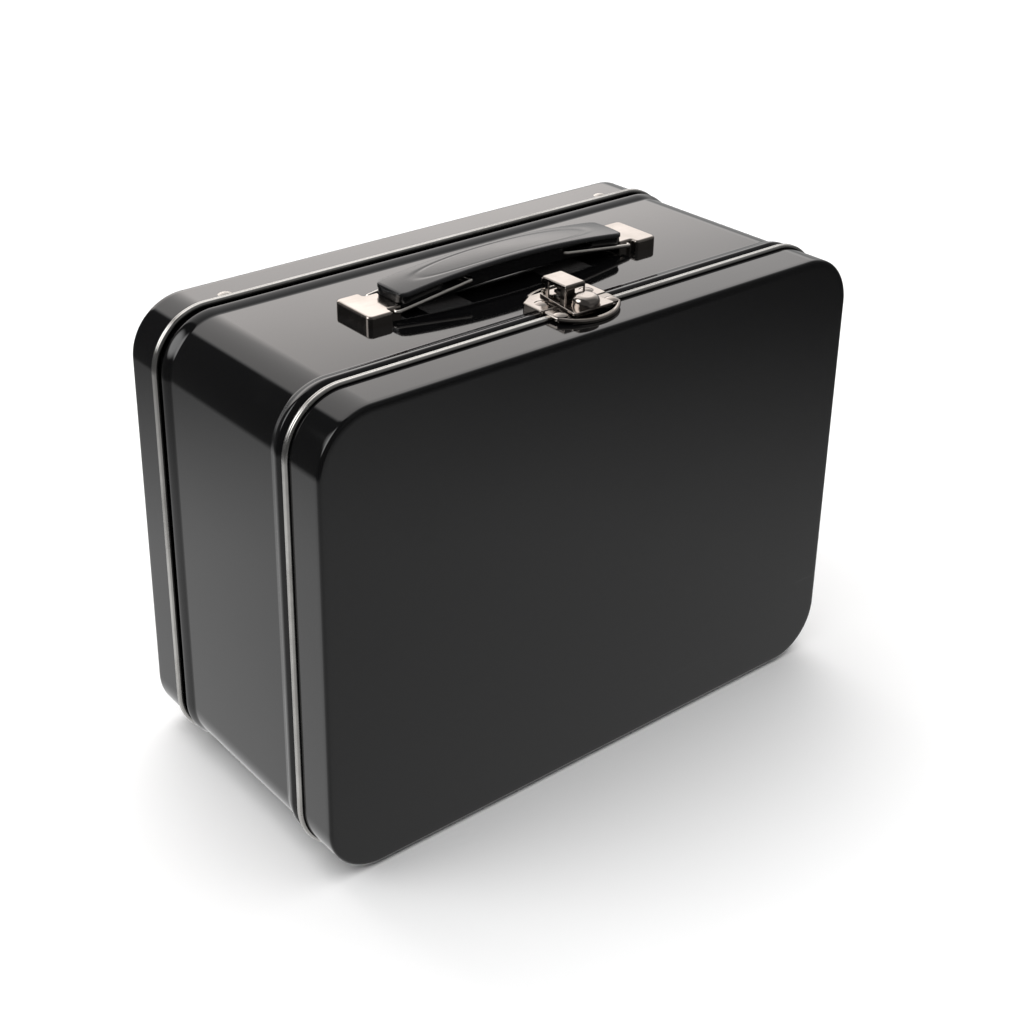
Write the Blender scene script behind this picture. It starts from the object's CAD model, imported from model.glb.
"""Metal lunch box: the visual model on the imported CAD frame. Lengths in the helpers are in millimetres."""
import math

import bmesh
import bpy
from mathutils import Matrix, Vector

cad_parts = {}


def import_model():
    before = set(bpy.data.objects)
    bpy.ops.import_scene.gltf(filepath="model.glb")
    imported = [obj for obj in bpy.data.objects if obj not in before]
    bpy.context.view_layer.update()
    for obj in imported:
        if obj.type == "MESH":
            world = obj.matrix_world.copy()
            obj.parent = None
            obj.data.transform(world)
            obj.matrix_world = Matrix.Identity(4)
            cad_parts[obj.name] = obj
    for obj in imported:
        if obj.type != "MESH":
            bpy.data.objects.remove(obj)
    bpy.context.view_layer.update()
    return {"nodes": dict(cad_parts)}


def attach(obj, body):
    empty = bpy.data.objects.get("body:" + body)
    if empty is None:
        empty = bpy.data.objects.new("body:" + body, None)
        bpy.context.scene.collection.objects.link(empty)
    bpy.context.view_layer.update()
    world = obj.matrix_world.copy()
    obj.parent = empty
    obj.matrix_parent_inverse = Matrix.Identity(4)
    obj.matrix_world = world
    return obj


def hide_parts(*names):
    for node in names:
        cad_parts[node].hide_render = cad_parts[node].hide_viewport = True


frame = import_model()
MM = 0.001

# ---- dimensions, in millimetres ----
CASE_W, CASE_D, CASE_H = 205.0, 100.0, 150.0
CURL_PROUD = 1.1
SHEET = 0.4
WALL_W, WALL_H = CASE_W - 2 * CURL_PROUD, CASE_H - 2 * CURL_PROUD
MID_Z = CASE_H / 2
HALF_D = CASE_D / 2
PAN_R = 17.7
FACE_EDGE = 1.1
BAND_INSET = 0.5
WALL_TOP = MID_Z + WALL_H / 2
BAND_TOP = WALL_TOP - BAND_INSET
CURL_AT, CURL_FLAT, CURL_R = 35.0, 0.4, 0.75
HINGE_X, HINGE_HALF = 55.0, 13.0
LID_NOTCH_Y = 36.35
LATCH_NOTCH_X, LATCH_NOTCH_Y = 14.0, 34.1
BEAD_START, BEAD_CREST, BEAD_END, BEAD_H = 27.0, 30.5, 32.1, 1.0
NECK_START, NECK_END, NECK_IN, HEM_START = 32.5, 42.0, 0.35, 40.6
PLATE_TOP, BOX_TOP = WALL_TOP + 2.0, WALL_TOP + 7.6
HINGE_BREAKS = [("bottom", s * HINGE_X - HINGE_HALF, s * HINGE_X + HINGE_HALF, "hinge") for s in (-1, 1)]
LATCH_BREAK = ("top", -LATCH_NOTCH_X, LATCH_NOTCH_X, "latch")
HAIR = 0.01  # half the width of a step that cuts square across a shape


# ---- materials ----

class Nodes:
    """A short way to write a node tree."""

    def __init__(self, tree):
        self.tree = tree
        tree.nodes.clear()

    def add(self, kind, **settings):
        n = self.tree.nodes.new("ShaderNode" + kind)
        for k, v in settings.items():
            setattr(n, k, v)
        return n

    def put(self, socket, value):
        if isinstance(value, bpy.types.NodeSocket):
            self.tree.links.new(value, socket)
        else:
            socket.default_value = value

    def math(self, op, a, b=0.0, clamp=False):
        n = self.add("Math", operation=op, use_clamp=clamp)
        self.put(n.inputs[0], a)
        self.put(n.inputs[1], b)
        return n.outputs[0]

    def ramp(self, value, low, high, out_low=0.0, out_high=1.0, smooth=True):
        n = self.add("MapRange", interpolation_type="SMOOTHSTEP" if smooth else "LINEAR")
        for name, v in (("Value", value), ("From Min", low), ("From Max", high),
                        ("To Min", out_low), ("To Max", out_high)):
            self.put(n.inputs[name], v)
        return n.outputs["Result"]

    def noise(self, where, scale, detail=3.0, rough=0.5):
        n = self.add("TexNoise")
        self.put(n.inputs["Vector"], where)
        self.put(n.inputs["Scale"], scale)
        self.put(n.inputs["Detail"], detail)
        self.put(n.inputs["Roughness"], rough)
        return n.outputs["Fac"]

    def stretch(self, where, scale, turn=(0.0, 0.0, 0.0)):
        n = self.add("Mapping")
        self.put(n.inputs["Vector"], where)
        self.put(n.inputs["Rotation"], turn)
        self.put(n.inputs["Scale"], scale)
        return n.outputs["Vector"]

    def colour(self, factor, a, b):
        n = self.add("Mix", data_type="RGBA")
        self.put(n.inputs["Factor"], factor)
        self.put(n.inputs["A"], (*a, 1.0) if not isinstance(a, bpy.types.NodeSocket) else a)
        self.put(n.inputs["B"], (*b, 1.0) if not isinstance(b, bpy.types.NodeSocket) else b)
        return n.outputs["Result"]

    def bump(self, height, distance, normal=None):
        n = self.add("Bump")
        self.put(n.inputs["Height"], height)
        n.inputs["Distance"].default_value = distance
        n.inputs["Strength"].default_value = 1.0
        if normal is not None:
            self.put(n.inputs["Normal"], normal)
        return n.outputs["Normal"]


def material(name):
    m = bpy.data.materials.new(name)
    m.use_nodes = True
    t = Nodes(m.node_tree)
    shader = t.add("BsdfPrincipled")
    t.put(t.add("OutputMaterial").inputs["Surface"], shader.outputs["BSDF"])
    where = t.add("TexCoord").outputs["Object"]
    return m, t, shader, where


def enamel():
    """Black gloss enamel on tin: wavy panels, fine orange peel, faint smudges, dust and hairline scuffs."""
    m, t, s, where = material("black_enamel")
    s.inputs["IOR"].default_value = 1.5
    smudge = t.ramp(t.noise(t.stretch(where, (1.0, 1.0, 1.6)), 22.0, 4.0, 0.6), 0.56, 0.74)
    hairs = t.noise(t.stretch(where, (18.0, 140.0, 900.0), (0.5, 0.3, 0.0)), 1.0, 2.0)
    scuff_area = t.ramp(t.noise(where, 14.0, 2.0), 0.6, 0.72)
    scuff = t.math("MULTIPLY", t.ramp(hairs, 0.66, 0.74), scuff_area)
    dust = t.add("TexVoronoi")
    t.put(dust.inputs["Vector"], where)
    dust.inputs["Scale"].default_value = 60.0
    speck = t.ramp(dust.outputs["Distance"], 0.022, 0.012)
    few = t.ramp(t.noise(where, 31.0, 0.0), 0.6, 0.62)
    speck = t.math("MULTIPLY", speck, few)
    marks = t.math("MAXIMUM", scuff, speck)
    t.put(s.inputs["Base Color"], t.colour(marks, (0.002, 0.002, 0.0022), (0.028, 0.028, 0.029)))
    rough = t.math("ADD", t.ramp(smudge, 0.0, 1.0, 0.055, 0.115), t.math("MULTIPLY", marks, 0.15))
    t.put(s.inputs["Roughness"], rough)
    wave = t.noise(where, 17.0, 1.0, 0.4)
    peel = t.noise(where, 900.0, 1.0)
    t.put(s.inputs["Normal"], t.bump(peel, 0.00000025, t.bump(wave, 0.00014)))
    return m


def metal(name, colour, stain, rough_low, rough_high, brush=(300.0, 300.0, 300.0), scale=60.0):
    """A bare metal: uneven roughness, faint stains and fine scratches along brush."""
    m, t, s, where = material(name)
    s.inputs["Metallic"].default_value = 1.0
    cloud = t.noise(where, scale, 3.0, 0.6)
    lines = t.noise(t.stretch(where, brush, (0.0, 0.0, 0.2)), 1.0, 3.0)
    t.put(s.inputs["Base Color"], t.colour(t.ramp(cloud, 0.42, 0.72), colour, stain))
    both = t.math("ADD", t.math("MULTIPLY", cloud, 0.6), t.math("MULTIPLY", lines, 0.4))
    t.put(s.inputs["Roughness"], t.ramp(both, 0.35, 0.65, rough_low, rough_high))
    t.put(s.inputs["Normal"], t.bump(lines, 0.000004, t.bump(cloud, 0.00001)))
    return m


def plastic():
    """Black moulded plastic with a very fine grain and handling shine."""
    m, t, s, where = material("black_plastic")
    s.inputs["IOR"].default_value = 1.49
    cloud = t.noise(where, 35.0, 3.0)
    grain = t.noise(where, 2600.0, 2.0, 0.6)
    t.put(s.inputs["Base Color"], t.colour(cloud, (0.006, 0.006, 0.0065), (0.010, 0.010, 0.0105)))
    t.put(s.inputs["Roughness"], t.ramp(cloud, 0.3, 0.7, 0.12, 0.19))
    t.put(s.inputs["Normal"], t.bump(grain, 0.0000025, t.bump(t.noise(where, 60.0, 1.0), 0.00005)))
    return m


ENAMEL = enamel()
TIN = metal("tinplate", (0.56, 0.55, 0.53), (0.46, 0.45, 0.43), 0.16, 0.30, scale=45.0)
NICKEL = metal("nickel", (0.405, 0.365, 0.335), (0.35, 0.315, 0.285), 0.09, 0.17, brush=(90.0, 700.0, 300.0))
RIVET = metal("rivet_steel", (0.52, 0.49, 0.46), (0.44, 0.42, 0.39), 0.20, 0.32, scale=220.0)
WIRE = metal("wire_steel", (0.86, 0.82, 0.77), (0.78, 0.74, 0.69), 0.07, 0.14, brush=(60.0, 500.0, 500.0))
DARK = metal("dark_steel", (0.09, 0.08, 0.075), (0.06, 0.055, 0.05), 0.25, 0.38, scale=220.0)
PLASTIC = plastic()
SLOTS = {"black_tin": ENAMEL, "tinplate": TIN, "nickel": NICKEL, "rivet_steel": RIVET,
         "wire_steel": WIRE, "black_plastic": PLASTIC}


# ---- pieces ----

def piece(name, bm, body, slot, *nodes, also=(), sharp=35.0):
    """Makes a shown piece of the bmesh (in metres), which rides on body and stands for the CAD nodes."""
    bmesh.ops.recalc_face_normals(bm, faces=bm.faces)
    mesh = bpy.data.meshes.new(name)
    bm.to_mesh(mesh)
    bm.free()
    mesh.materials.append(SLOTS[slot])
    for m in also:
        mesh.materials.append(m)
    mesh.polygons.foreach_set("use_smooth", [True] * len(mesh.polygons))
    mesh.set_sharp_from_angle(angle=math.radians(sharp))
    obj = bpy.data.objects.new(name, mesh)
    bpy.context.scene.collection.objects.link(obj)
    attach(obj, body)
    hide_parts(*nodes)
    return obj


def repaint(node, slot):
    """A CAD node whose shape is right keeps it and takes the finish."""
    obj = frame["nodes"][node]
    if not obj.material_slots:
        obj.data.materials.append(SLOTS[slot])
    for s in obj.material_slots:
        s.link = "OBJECT"
        s.material = SLOTS[slot]


def stations(w, h, r, arc=20, breaks=()):
    """Points round a rounded rectangle standing in XZ: x, z, the outward normal and the note of its break.
    A break is (side, x0, x1, note), with side 'bottom' or 'top'."""
    out = []
    hw, hh = w / 2, h / 2

    def straight(side, a, b, normal):
        xs = {a, b}
        for s, x0, x1, _ in breaks:
            if s == side:
                xs |= {x0 - HAIR, x0 + HAIR, x1 - HAIR, x1 + HAIR}
        for x in sorted(xs, reverse=a > b):
            note = [n for s, x0, x1, n in breaks if s == side and x0 < x < x1]
            z = MID_Z + normal[1] * hh
            out.append((x, z, *normal, note[0] if note else ""))

    def corner(cx, cz, start):
        for k in range(arc + 1):
            a = math.radians(start + 90.0 * k / arc)
            out.append((cx + r * math.cos(a), MID_Z + cz + r * math.sin(a), math.cos(a), math.sin(a), ""))

    straight("bottom", -hw + r, hw - r, (0.0, -1.0))
    corner(hw - r, -hh + r, -90.0)
    corner(hw - r, hh - r, 0.0)
    straight("top", hw - r, -hw + r, (0.0, 1.0))
    corner(-hw + r, hh - r, 90.0)
    corner(-hw + r, -hh + r, 180.0)
    found = []
    for s in out:
        if not found or math.dist(s[:2], found[-1][:2]) > 1e-4:
            found.append(s)
    if math.dist(found[0][:2], found[-1][:2]) < 1e-4:
        found.pop()
    return found


def arc_points(cx, cy, r, a0, a1, n):
    return [(cx + r * math.cos(math.radians(a0 + (a1 - a0) * k / n)),
             cy + r * math.sin(math.radians(a0 + (a1 - a0) * k / n))) for k in range(n + 1)]


def ring_verts(bm, where, profile):
    x, z, nx, nz, _ = where
    return [bm.verts.new(((x + nx * o) * MM, y * MM, (z + nz * o) * MM)) for o, y in profile]


def join_rings(bm, rings, closed, materials):
    """Faces between neighbouring rings. materials gives one index for each step along the profile."""
    n = len(rings)
    for i in range(n):
        a, b = rings[i], rings[(i + 1) % n]
        steps = len(a) if closed else len(a) - 1
        for j in range(steps):
            k = (j + 1) % len(a)
            f = bm.faces.new((a[j], b[j], b[k], a[k]))
            f.material_index = materials[j]


def pan_profile(note):
    """From the middle of the outer face, over the wall and round the rolled rim, back to the inner face."""
    edge = HALF_D - FACE_EDGE
    face_ring, face_end = -FACE_EDGE - 9.0, -FACE_EDGE - 1.5
    wall_start, wall_end = edge - 1.2, 37.6
    pts = [(face_ring, HALF_D), (face_end, HALF_D)]
    pts += arc_points(-FACE_EDGE, edge, FACE_EDGE, 90, 0, 7)
    pts += [(0.0, wall_start), (0.0, wall_end)]
    outer = len(pts)
    c = CURL_PROUD - CURL_R
    meet = math.degrees(math.asin(CURL_FLAT / CURL_R))
    start = math.degrees(math.acos(-c / CURL_R))
    curl = arc_points(c, CURL_AT + CURL_FLAT, CURL_R, start, -meet, 12)
    curl += arc_points(c, CURL_AT - CURL_FLAT, CURL_R, meet, -180, 14)[1:]
    if note == "hinge":
        # the rim is cut away: both skins end on a plain edge
        n = len(curl)
        curl = [(-SHEET * min(1.0, max(0.0, (k - 2) / (n - 5))), LID_NOTCH_Y) for k in range(n)]
    pts += curl
    pts += [(-SHEET, wall_end), (-SHEET, wall_start)]
    pts += arc_points(-FACE_EDGE, edge, FACE_EDGE - SHEET, 0, 90, 5)
    pts += [(face_end, HALF_D - SHEET), (face_ring, HALF_D - SHEET)]
    return pts, outer


def pan(name, node, body, side, breaks=()):
    """A pressed pan; side is -1 for the lid in front and 1 for the back."""
    bm = bmesh.new()
    rings, materials = [], []
    for where in stations(WALL_W, WALL_H, PAN_R, 28, breaks):
        pts, outer = pan_profile(where[4])
        rings.append(ring_verts(bm, where, [(o, side * y) for o, y in pts]))
        materials = [0 if j <= outer + 1 else 1 for j in range(len(pts) - 1)]
    join_rings(bm, rings, False, materials)
    bm.faces.new([r[0] for r in rings]).material_index = 0
    bm.faces.new([r[-1] for r in rings]).material_index = 1
    piece(name, bm, body, "black_tin", node, also=(TIN,), sharp=60.0)


def band_half(note):
    """The outer skin from the middle to the neck's end, then the inner skin back to the middle."""
    h = 0.0 if note == "hinge" else BEAD_H
    end = LATCH_NOTCH_Y if note == "latch" else NECK_END
    middle, hem_in = 8.0, -NECK_IN - 2 * SHEET
    outer = [(0.0, middle), (0.0, BEAD_START - 1.3), (0.0, BEAD_START - 0.6), (0.0, BEAD_START - 0.1)]
    for k in range(1, 9):
        u = k / 9
        outer.append((h * (1 - (1 - u) ** 1.5), BEAD_START + (BEAD_CREST - 0.25 - BEAD_START) * u))
    outer += [(h, BEAD_CREST - 0.12), (h, BEAD_CREST + 0.12), (0.95 * h, BEAD_CREST + 0.34),
              (0.8 * h, BEAD_CREST + 0.6), (0.12 * h, BEAD_END - 0.15), (-0.1, BEAD_END + 0.1),
              (-0.27, BEAD_END + 0.22), (-NECK_IN, NECK_START), (-NECK_IN, NECK_START + 0.5)]
    outer += [(-NECK_IN, end - 0.25), (-NECK_IN - 0.12, end - 0.06), (-NECK_IN - 0.4, end)]
    hem = min(HEM_START, end - 0.5)
    inner = [(-NECK_IN - 0.7, end - 0.06), (hem_in, end - 0.25), (hem_in, hem + 0.15), (hem_in + 0.1, hem),
             (-NECK_IN - SHEET, hem), (-NECK_IN - SHEET, NECK_START - 0.1),
             (-SHEET, BEAD_END - 0.35), (max(h - 1.1 * SHEET, -SHEET), BEAD_CREST),
             (max(0.8 * h - SHEET, -SHEET), BEAD_CREST - 0.5), (-SHEET, BEAD_START), (-SHEET, middle)]
    return outer, inner


def band():
    """The middle tube in one closed skin, painted outside and bare tin inside."""
    bm = bmesh.new()
    breaks = [*HINGE_BREAKS, LATCH_BREAK]
    rings, materials = [], []
    w, h, r = WALL_W - 2 * BAND_INSET, WALL_H - 2 * BAND_INSET, PAN_R - BAND_INSET
    for where in stations(w, h, r, 28, breaks):
        lid_outer, lid_inner = band_half(where[4])
        back_outer, back_inner = band_half("")
        loop = [(o, -y) for o, y in reversed(lid_outer)] + back_outer + back_inner
        loop += [(o, -y) for o, y in reversed(lid_inner)]
        rings.append(ring_verts(bm, where, loop))
        painted = len(lid_outer) + len(back_outer) - 1
        materials = [0 if j < painted else 1 for j in range(len(loop))]
    join_rings(bm, rings, True, materials)
    piece("body_band_shell", bm, "case", "black_tin", "body_band", also=(TIN,), sharp=50.0)


def loft(bm, rings):
    """Skins a row of equal rings and closes both ends."""
    n = len(rings[0])
    for a, b in zip(rings, rings[1:]):
        for k in range(n):
            bm.faces.new((a[k], b[k], b[(k + 1) % n], a[(k + 1) % n]))
    bm.faces.new(rings[0])
    bm.faces.new(rings[-1])


def tube(bm, path, r, sides=14):
    """A round tube with closed ends along path, a list of Vectors in millimetres."""
    rings = []
    up = None
    for i, p in enumerate(path):
        a = path[max(i - 1, 0)]
        b = path[min(i + 1, len(path) - 1)]
        d = (b - a).normalized()
        if up is None:
            up = d.orthogonal().normalized()
        up = (up - d * up.dot(d)).normalized()
        side = d.cross(up)
        rings.append([bm.verts.new((p + (up * math.cos(2 * math.pi * k / sides)
                                         + side * math.sin(2 * math.pi * k / sides)) * r) * MM)
                      for k in range(sides)])
    loft(bm, rings)


def bent(points, r, n=6):
    """The corners of a path rounded to the radius r."""
    out = [points[0]]
    for a, p, b in zip(points, points[1:], points[2:]):
        u, v = (a - p).normalized(), (b - p).normalized()
        half = u.angle(v) / 2
        reach = r / math.tan(half)
        centre = p + (u + v).normalized() * (r / math.sin(half))
        s, e = p + u * reach - centre, p + v * reach - centre
        turn = s.angle(e)
        axis = s.cross(e).normalized()
        out += [centre + Matrix.Rotation(turn * k / n, 3, axis) @ s for k in range(n + 1)]
    return out + [points[-1]]


def bail(side, node):
    """One wire bail: stub, leg, crossbar, leg, stub, in one bent length."""
    pivot_x, pivot_z = 45.5, BAND_TOP + 2.2
    bar_x, bar_z = 18.3, BAND_TOP + 5.7
    leg_y, stub_y = 7.8, 4.6
    bend_r, wire_r = 0.85, 0.6
    corners = ((pivot_x, -stub_y, pivot_z), (pivot_x, -leg_y, pivot_z), (bar_x, -leg_y, bar_z),
               (bar_x, leg_y, bar_z), (pivot_x, leg_y, pivot_z), (pivot_x, stub_y, pivot_z))
    bm = bmesh.new()
    tube(bm, bent([Vector((side * x, y, z)) for x, y, z in corners], bend_r), wire_r)
    piece(node + "_wire", bm, node, "wire_steel", node, sharp=60.0)


def arc_height(x, half, end_h, mid_h):
    """The height at x of an arc that is mid_h high in the middle and end_h high at half."""
    rise = mid_h - end_h
    r = (half * half + rise * rise) / (2 * rise)
    return mid_h - r + math.sqrt(r * r - x * x)


def grip():
    """The moulded grip: a cap over a narrower body, hollow underneath, with a shallow oval on top."""
    half, cap_w, body_w = 43.3, 7.3, 6.9
    end_h, mid_h, roof_t = 6.8, 9.6, 1.6
    under_end_h, under_mid_h = 1.6, 3.3
    plan_r, ledge_x, ledge_h, wall = 3.0, 42.3, 3.55, 2.0
    solid_in, solid_out = 15.5, 32.0
    edge_r, crown_h, heel_r, steps = 1.1, 0.22, 0.7, 28
    oval_x, oval_y, oval_power, oval_depth = 33.0, 4.9, 2.6, 0.07
    xs = {s * (x + d) for s in (-1, 1) for x in (ledge_x, ledge_x - wall, solid_in, solid_out)
          for d in (-HAIR, HAIR)}
    xs |= {s * (half - plan_r + plan_r * math.sin(math.radians(a)))
           for s in (-1, 1) for a in range(0, 91, 10)}
    xs |= {-40.0 + 0.5 * k for k in range(161)}
    bm = bmesh.new()
    rings = []

    def oval(x, y):
        # height of the top's oval: a fine groove round a shallow dish
        d = (abs(x / oval_x) ** oval_power + abs(y / oval_y) ** oval_power) ** (1 / oval_power)
        beyond = (d - 1.0) * oval_y
        line = oval_depth * math.exp(-(beyond / 0.3) ** 2)
        dish = oval_depth * (1 - 1 / (1 + math.exp(-beyond / 0.25)))
        return -line - dish

    for x in sorted(xs):
        over = abs(x) - (half - plan_r)
        pull = plan_r - math.sqrt(max(plan_r * plan_r - over * over, 0.0)) if over > 0 else 0.0
        cw, bw = cap_w - pull, body_w - pull
        top = arc_height(x, half, end_h, mid_h)
        under = arc_height(x, half, under_end_h, under_mid_h)
        roof = arc_height(x, half, end_h - roof_t, mid_h - roof_t)
        if abs(x) > ledge_x:
            under = ledge_h
        if abs(x) > ledge_x - wall or solid_in < abs(x) < solid_out:
            roof = under + 0.05
        # toward the ends the top's edge gets smaller and the top itself falls a little
        edge = edge_r * min(1.0, max(0.25, (half - abs(x)) / 1.2))
        drop = 0.35 * (1 - min(1.0, (half - abs(x)) / 0.8)) ** 2
        flat = cw - edge
        pts = []
        for k in range(steps + 1):
            y = flat * k / steps
            pts.append((y, top - drop - crown_h * (y / cw) ** 2 + oval(x, y)))
        shoulder = top - drop - crown_h * (flat / cw) ** 2 - edge
        for a in map(math.radians, range(15, 91, 15)):
            pts.append((flat + edge * math.sin(a), shoulder + edge * math.cos(a)))
        pts += [(cw, top - 1.3), (cw - 0.12, top - 1.45), (bw + 0.05, top - 1.5), (bw, top - 1.62)]
        heel = under + heel_r
        pts.append((bw, heel))
        for a in map(math.radians, (22, 45, 68, 90)):
            pts.append((bw - heel_r + heel_r * math.cos(a), heel - heel_r * math.sin(a)))
        inner = min(body_w - wall, bw - heel_r - 0.15)
        pts += [(inner + 0.25, under), (inner, under + 0.04), (inner - 0.02, roof), (0.0, roof)]
        loop = pts + [(-y, z) for y, z in reversed(pts[1:-1])]
        rings.append([bm.verts.new((x * MM, y * MM, (BAND_TOP + z) * MM)) for y, z in loop])
    loft(bm, rings)
    obj = piece("grip_moulding", bm, "grip", "black_plastic", "grip", sharp=45.0)

    cutters = bmesh.new()
    slot_in, slot_out, slot_r, slot_z, slot_reach = 17.5, 30.0, 1.0, BAND_TOP + 5.98, 9.0
    for side in (-1, 1):
        a, b = side * (slot_in + slot_r), side * (slot_out - slot_r)
        loop = arc_points(a, slot_z, slot_r, 90, 90 + 180 * side, 10)
        loop += arc_points(b, slot_z, slot_r, -90, -90 + 180 * side, 10)
        loft(cutters, [[cutters.verts.new((x * MM, y * MM, z * MM)) for x, z in loop]
                       for y in (-slot_reach, slot_reach)])
    cut(obj, cutters, 45.0)


# ---- stamped metalwork ----

def soft_corners(corners, n=6):
    """A closed outline from (x, y, r) corners, each rounded to its r."""
    out = []
    for k, (x, y, r) in enumerate(corners):
        p = Vector((x, y))
        if r <= 0:
            out.append((x, y))
            continue
        a, b = Vector(corners[k - 1][:2]), Vector(corners[(k + 1) % len(corners)][:2])
        u, v = (a - p).normalized(), (b - p).normalized()
        half = u.angle(v) / 2
        reach = r / math.tan(half)
        c = p + (u + v).normalized() * (r / math.sin(half))
        s, e = p + u * reach - c, p + v * reach - c
        start, turn = math.atan2(s.y, s.x), math.atan2(s.x * e.y - s.y * e.x, s.dot(e))
        out += [(c.x + r * math.cos(start + turn * i / n), c.y + r * math.sin(start + turn * i / n))
                for i in range(n + 1)]
    return out


def inset(outline, d):
    """An anticlockwise outline made smaller all round by d."""
    out = []
    for k, (x, y) in enumerate(outline):
        x0, y0 = outline[k - 1]
        x1, y1 = outline[(k + 1) % len(outline)]
        a, b = Vector((x - x0, y - y0)).normalized(), Vector((x1 - x, y1 - y)).normalized()
        inward = Vector((-a.y - b.y, a.x + b.x)).normalized()
        step = d / max(0.4, inward.dot(Vector((-a.y, a.x))))
        out.append((x + inward.x * step, y + inward.y * step))
    return out


def stack(bm, outline, levels, slope=lambda x, y: 0.0):
    """A closed solid through levels of (inset, z); slope(x, y) is how far a point hangs lower."""
    rings = []
    for d, z in levels:
        ring = inset(outline, d) if d else outline
        rings.append([bm.verts.new((x * MM, y * MM, (z - slope(x, y)) * MM)) for x, y in ring])
    n = len(outline)
    for a, b in zip(rings, rings[1:]):
        for k in range(n):
            bm.faces.new((a[k], a[(k + 1) % n], b[(k + 1) % n], b[k]))
    bm.faces.new(rings[0])
    bm.faces.new(rings[-1])


def rim_levels(z0, z1, edge, n=5):
    """The levels of a side wall that turns over a rounded edge into the top."""
    turns = [math.radians(90 * k / n) for k in range(1, n + 1)]
    turned = [(edge * (1 - math.cos(a)), z1 - edge + edge * math.sin(a)) for a in turns]
    return [(0.0, z0), (0.0, z1 - edge)] + turned


def block(bm, x0, x1, y0, y1, z0, z1, edge=0.12, corner=0.12):
    """A plain block with rounded upper edges and upright corners."""
    outline = soft_corners([(x0, y0, corner), (x1, y0, corner), (x1, y1, corner), (x0, y1, corner)], 3)
    stack(bm, outline, rim_levels(z0, z1, edge, 3))


def cut(obj, bm, sharp):
    """Takes the closed solids of bm out of obj."""
    bmesh.ops.recalc_face_normals(bm, faces=bm.faces)
    mesh = bpy.data.meshes.new("cutter")
    bm.to_mesh(mesh)
    bm.free()
    tool = bpy.data.objects.new("cutter", mesh)
    bpy.context.scene.collection.objects.link(tool)
    step = obj.modifiers.new("cut", "BOOLEAN")
    step.operation, step.solver, step.object = "DIFFERENCE", "EXACT", tool
    made = bpy.data.meshes.new_from_object(obj.evaluated_get(bpy.context.evaluated_depsgraph_get()))
    obj.modifiers.clear()
    obj.data = made
    made.polygons.foreach_set("use_smooth", [True] * len(made.polygons))
    made.set_sharp_from_angle(angle=math.radians(sharp))
    bpy.data.objects.remove(tool)


def weigh(obj):
    """Keeps the shading of big faces flat beside the rounded edges."""
    obj.modifiers.new("weighted", "WEIGHTED_NORMAL").keep_sharp = True


def brackets():
    """Two stamped covers with soft corners, hollow underneath."""
    nose_x, step_x, end_x = 42.6, 47.4, 56.0
    nose_y, full_y = 6.2, 9.0
    top, wall, roof, edge = BAND_TOP + 3.5, 0.8, 0.9, 0.8
    back_half = [(end_x, full_y, 1.9), (step_x, full_y, 1.3), (step_x, nose_y, 0.5), (nose_x, nose_y, 0.7)]
    right = [(x, -y, r) for x, y, r in reversed(back_half)] + back_half
    left = [(-x, y, r) for x, y, r in reversed(right)]
    for name, corners in (("left", left), ("right", right)):
        bm = bmesh.new()
        hollow = [(wall, top - roof), (wall, BAND_TOP)]
        stack(bm, soft_corners(corners, 8), hollow + rim_levels(BAND_TOP, top, edge, 6))
        weigh(piece(f"bracket_{name}_cover", bm, "case", "nickel", f"bracket_{name}", sharp=50.0))


def arc_outline(half, side_y, apex_y, n=28):
    """Points from one end of a bulging edge to the other, over its apex."""
    rise = abs(apex_y - side_y)
    r = (half * half + rise * rise) / (2 * rise)
    way = 1 if apex_y > side_y else -1
    cy = apex_y - way * r
    a = math.degrees(math.asin(half / r))
    turns = [math.radians(a - 2 * a * k / n) for k in range(n + 1)]
    return [(r * math.sin(way * t), cy + way * r * math.cos(t)) for t in turns]


def latch_base():
    """The base plate: a pressed plate with a rounded rim, a rear loop and two ears."""
    half, front_y, back_y = 12.6, -32.75, -24.3
    rear = arc_outline(9.0, -22.0, -18.6)
    corners = [(-half, front_y, 1.0), (half, front_y, 1.0), (half, back_y, 1.2)]
    corners += [(x, y, 0.0) for x, y in rear]
    corners += [(-half, back_y, 1.2)]
    low, wall = BAND_TOP + 0.05, 0.9
    bm = bmesh.new()
    hollow = [(wall, PLATE_TOP - wall), (wall, low)]
    stack(bm, soft_corners(corners), hollow + rim_levels(low, PLATE_TOP, 0.4))
    obj = piece("latch_base_plate", bm, "case", "nickel", "latch_base", sharp=50.0)
    holes = bmesh.new()
    stack(holes, arc_outline(7.2, -21.5, -19.8), [(0.0, PLATE_TOP - 5), (0.0, PLATE_TOP + 0.4)])
    block(holes, -2.3, 2.3, -34.0, -25.5, PLATE_TOP - 3, PLATE_TOP + 0.4)
    cut(obj, holes, 50.0)
    weigh(obj)
    bm = bmesh.new()
    rim_r, ear_x, ear_half = 0.58, 2.6, 0.3
    tube(bm, [Vector((x, y, PLATE_TOP - 0.5)) for x, y in arc_outline(8.3, -21.4, -19.2)], rim_r, 10)
    for x in (-ear_x, ear_x):
        block(bm, x - ear_half, x + ear_half, back_y, -22.1, PLATE_TOP - 0.6, PLATE_TOP + 2.4, 0.25)
    piece("latch_base_ears", bm, "case", "nickel", "latch_base", sharp=50.0)


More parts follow.
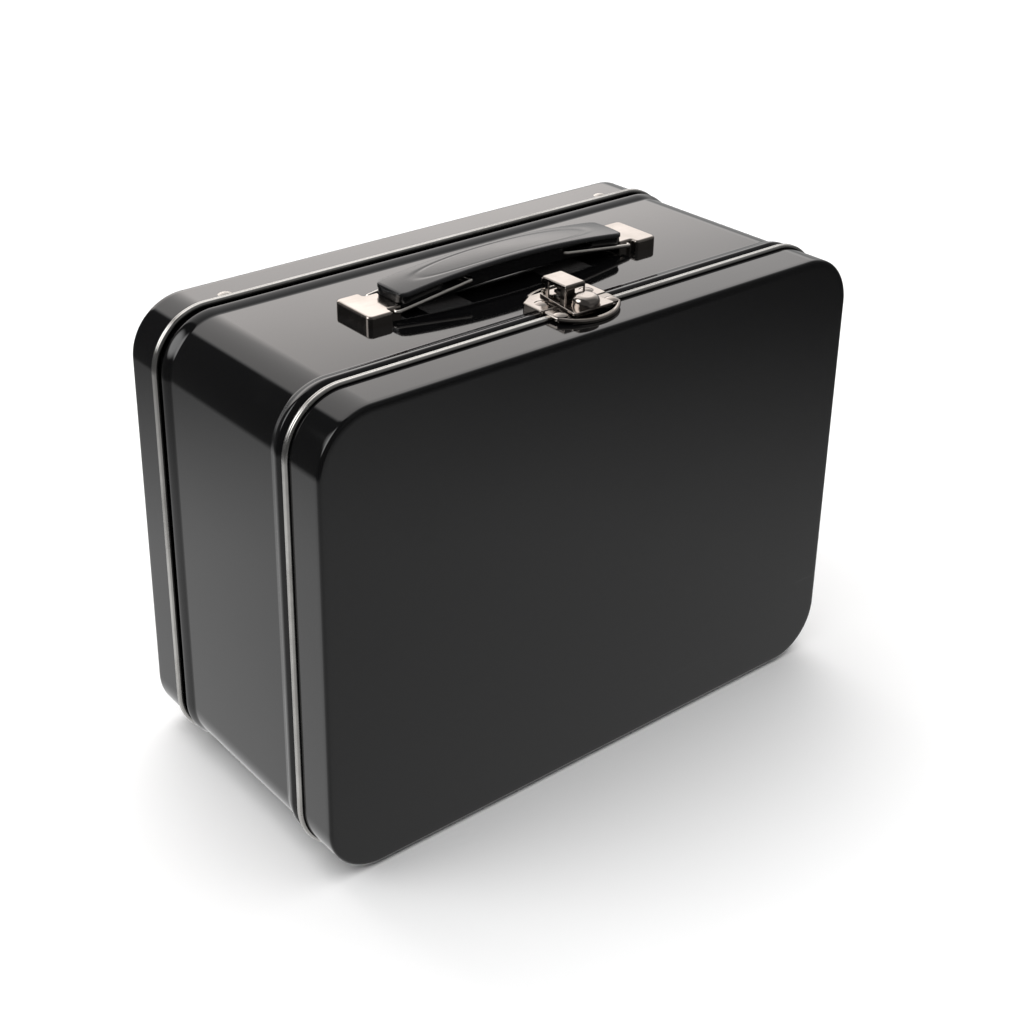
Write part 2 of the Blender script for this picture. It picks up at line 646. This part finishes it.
def latch_strike():
    """The strike on the lid: a pressed plate falling to a round front loop, and the catch on its tongue."""
    half, back_y = 12.3, -33.05
    front = arc_outline(half, -38.5, -45.2)
    corners = [(half, back_y, 1.0), (-half, back_y, 1.0)] + [(x, y, 0.0) for x, y in front]
    fall, fall_start, fall_length = 0.9, -36.8, 9.4

    def slope(x, y):
        return fall * min(max((fall_start - y) / fall_length, 0.0), 1.0)

    low, wall, roof = WALL_TOP + 0.95, 0.9, 0.85
    bm = bmesh.new()
    hollow = [(wall, PLATE_TOP - roof), (wall, low)]
    stack(bm, soft_corners(corners), hollow + rim_levels(low, PLATE_TOP, 0.45), slope)
    obj = piece("latch_strike_plate", bm, "lid", "nickel", "latch_strike", sharp=50.0)
    holes = bmesh.new()
    stack(holes, arc_outline(9.9, -40.4, -43.75), [(0.0, PLATE_TOP - 5), (0.0, PLATE_TOP + 0.6)])
    cut(obj, holes, 50.0)
    weigh(obj)
    bm = bmesh.new()
    rim = arc_outline(11.5, -39.0, -44.45, 36)
    tube(bm, [Vector((x, y, PLATE_TOP - 0.62 - slope(x, y))) for x, y in rim], 0.72, 12)
    catch_half, catch_top, floor_z = 2.0, BOX_TOP - 1.7, PLATE_TOP - 0.7
    step = (catch_top - floor_z) / 5
    plated = len(bm.faces)
    block(bm, -catch_half, catch_half, -33.55, -30.5, floor_z, PLATE_TOP)
    block(bm, -catch_half, catch_half, -30.6, -28.6, floor_z, catch_top, 0.3)
    for n in range(3):
        finger = floor_z + 2 * n * step
        block(bm, -catch_half, catch_half, -28.7, -25.8, finger, floor_z + (2 * n + 1) * step)
    bm.faces.ensure_lookup_table()
    # the rim loop is nickel; the catch behind it takes the second, darker finish
    for f in bm.faces[plated:]:
        f.material_index = 1
    piece("latch_strike_catch", bm, "lid", "nickel", "latch_strike", also=(DARK,), sharp=50.0)


def latch_lever():
    """The lever: a flat tapering plate under an open-sided box with a rounded roof."""
    low, top = PLATE_TOP + 0.1, PLATE_TOP + 0.8
    front_half, front_y, back_half, back_y = 7.85, -41.5, 5.3, -23.0
    box_half, box_in, box_front, window_y, box_back = 3.8, 3.2, -33.0, -32.4, -22.2
    under_roof = BOX_TOP - 0.6
    taper = soft_corners([(-front_half, front_y, 0.9), (front_half, front_y, 0.9),
                          (back_half, back_y, 0.8), (-back_half, back_y, 0.8)])
    bm = bmesh.new()
    stack(bm, taper, [(0.0, low)] + rim_levels(low + 0.05, top, 0.25, 4))
    obj = piece("latch_lever_plate", bm, "latch_lever", "nickel", "latch_lever", sharp=50.0)
    hole = bmesh.new()
    block(hole, -box_in, box_in, window_y, -22.0, low - 1, top + 0.5)
    cut(obj, hole, 50.0)
    weigh(obj)
    bm = bmesh.new()
    roof = soft_corners([(-box_half, box_front, 0.45), (box_half, box_front, 0.45),
                         (box_half, box_back, 0.9), (-box_half, box_back, 0.9)])
    stack(bm, roof, [(0.5, BOX_TOP - 0.7), (0.0, BOX_TOP - 0.9)] + rim_levels(BOX_TOP - 0.85, BOX_TOP, 0.5))
    for x0, x1 in ((-box_half, -box_in), (box_in, box_half)):
        block(bm, x0, x1, -25.4, box_back, low, under_roof, 0.2, 0.25)
        block(bm, x0, x1, box_front, window_y, low, under_roof, 0.2, 0.25)
    block(bm, -box_half, box_half, box_front, window_y, BOX_TOP - 1.5, under_roof, 0.2, 0.2)
    block(bm, -box_half, box_half, -22.8, box_back, PLATE_TOP + 2.75, under_roof)
    weigh(piece("latch_lever_box", bm, "latch_lever", "nickel", "latch_lever", sharp=50.0))


pan("lid_shell", "lid", "lid", -1, HINGE_BREAKS)
pan("back_cover_shell", "back_cover", "case", 1)
band()
grip()
bail(-1, "link_left")
bail(1, "link_right")

brackets()
latch_base()
latch_strike()
latch_lever()
REPAINTED = {
    "tinplate": ("band_seam", "hinge_band_leaves", "hinge_lid_leaves", "bracket_backing_plates"),
    "wire_steel": ("hinge_pins", "latch_pin"),
    "rivet_steel": ("hinge_band_rivets", "hinge_lid_rivets", "bracket_rivets", "back_cover_rivets"),
    "nickel": ("latch_base_rivets", "latch_strike_rivets", "latch_knob"),
}
for slot, nodes in REPAINTED.items():
    for node in nodes:
        repaint(node, slot)


# ---- studio ----

def floor():
    bm = bmesh.new()
    bmesh.ops.create_grid(bm, x_segments=1, y_segments=1, size=6.0)
    mesh = bpy.data.meshes.new("floor")
    bm.to_mesh(mesh)
    bm.free()
    m, t, s, where = material("floor_paper")
    t.put(s.inputs["Base Color"], t.colour(t.noise(where, 9.0, 2.0), (0.93, 0.93, 0.93), (0.95, 0.95, 0.95)))
    s.inputs["Roughness"].default_value = 0.9
    s.inputs["Specular IOR Level"].default_value = 0.1
    mesh.materials.append(m)
    obj = bpy.data.objects.new("floor", mesh)
    bpy.context.scene.collection.objects.link(obj)
    obj.visible_glossy = False


def world():
    """A studio by direction: a wide soft wall behind, a soft box on the left and a grey table below.
    The wall's brightness by direction was tuned until sampled points came near the photograph's."""
    w = bpy.data.worlds.new("studio")
    bpy.context.scene.world = w
    w.use_nodes = True
    t = Nodes(w.node_tree)
    axes = t.add("SeparateXYZ")
    t.put(axes.inputs[0], t.add("TexCoord").outputs["Generated"])
    x, y, z = axes.outputs
    wall = t.ramp(z, 0.66, 0.34, 2.1, 2.45)
    wall = t.math("MULTIPLY", wall, t.ramp(y, 0.15, 0.78, 0.25, 1.0))
    wall = t.math("MULTIPLY", wall, t.ramp(x, -0.24, -0.15))
    wall = t.math("MULTIPLY", wall, t.ramp(y, -0.30, 0.12, 0.2, 1.0))
    wall = t.math("MULTIPLY", wall, t.ramp(t.math("SUBTRACT", y, z), 0.27, 0.41, 0.68, 1.06, smooth=False))
    wall = t.math("MULTIPLY", wall, t.ramp(z, 0.10, 0.34, 0.2, 1.0))
    wall = t.math("MULTIPLY", wall, t.ramp(z, -0.30, -0.10))
    table = t.math("MULTIPLY", t.ramp(z, -0.33, -0.52), t.ramp(y, -0.6, 0.75, 0.46, 0.80))
    dot = t.add("VectorMath", operation="DOT_PRODUCT")
    t.put(dot.inputs[0], t.add("TexCoord").outputs["Generated"])
    dot.inputs[1].default_value = Vector((-0.75, 0.40, 0.53)).normalized()
    box = t.ramp(dot.outputs["Value"], 0.90, 0.985, 0.0, 3.6)
    total = t.math("ADD", t.math("ADD", wall, table), t.math("ADD", box, 0.085))
    lit = t.add("Background")
    t.put(lit.inputs["Color"], t.colour(t.ramp(wall, 0.0, 2.4), (1.0, 1.0, 1.0), (1.0, 0.955, 0.93)))
    t.put(lit.inputs["Strength"], total)
    # what the camera sees directly is plain white
    plain = t.add("Background")
    plain.inputs["Color"].default_value = (1.0, 1.0, 1.0, 1.0)
    plain.inputs["Strength"].default_value = 1.0
    mix = t.add("MixShader")
    t.put(mix.inputs["Fac"], t.add("LightPath").outputs["Is Camera Ray"])
    t.put(mix.inputs[1], lit.outputs["Background"])
    t.put(mix.inputs[2], plain.outputs["Background"])
    t.put(t.add("OutputWorld").inputs["Surface"], mix.outputs["Shader"])


def area(name, place, aim, size, power):
    data = bpy.data.lights.new(name, "AREA")
    data.shape, data.size, data.energy = "SQUARE", size, power
    obj = bpy.data.objects.new(name, data)
    obj.location = place
    obj.rotation_euler = (Vector(aim) - Vector(place)).to_track_quat("-Z", "Y").to_euler()
    obj.visible_glossy = False
    obj.visible_camera = False
    bpy.context.scene.collection.objects.link(obj)


floor()
world()
area("overhead", (0.0, 0.0, 2.2), (0.0, 0.0, 0.0), 3.5, 70.0)

bpy.context.scene.view_settings.view_transform = "Standard"

# the camera fitted to the photograph
azimuth, elevation = math.radians(-37.604), math.radians(24.43)
level = math.cos(elevation)
back = Vector((math.sin(azimuth) * level, -math.cos(azimuth) * level, math.sin(elevation)))
data = bpy.data.cameras.new("camera")
data.sensor_width = 36.0
data.lens = 58.79
data.shift_x, data.shift_y = 0.0639, -0.1409
data.clip_start, data.clip_end = 0.01, 50.0
camera = bpy.data.objects.new("camera", data)
camera.location = Vector((-304.1, -366.6, 334.15)) * MM
camera.rotation_euler = back.to_track_quat("Z", "Y").to_euler()
bpy.context.scene.collection.objects.link(camera)
bpy.context.scene.camera = camera
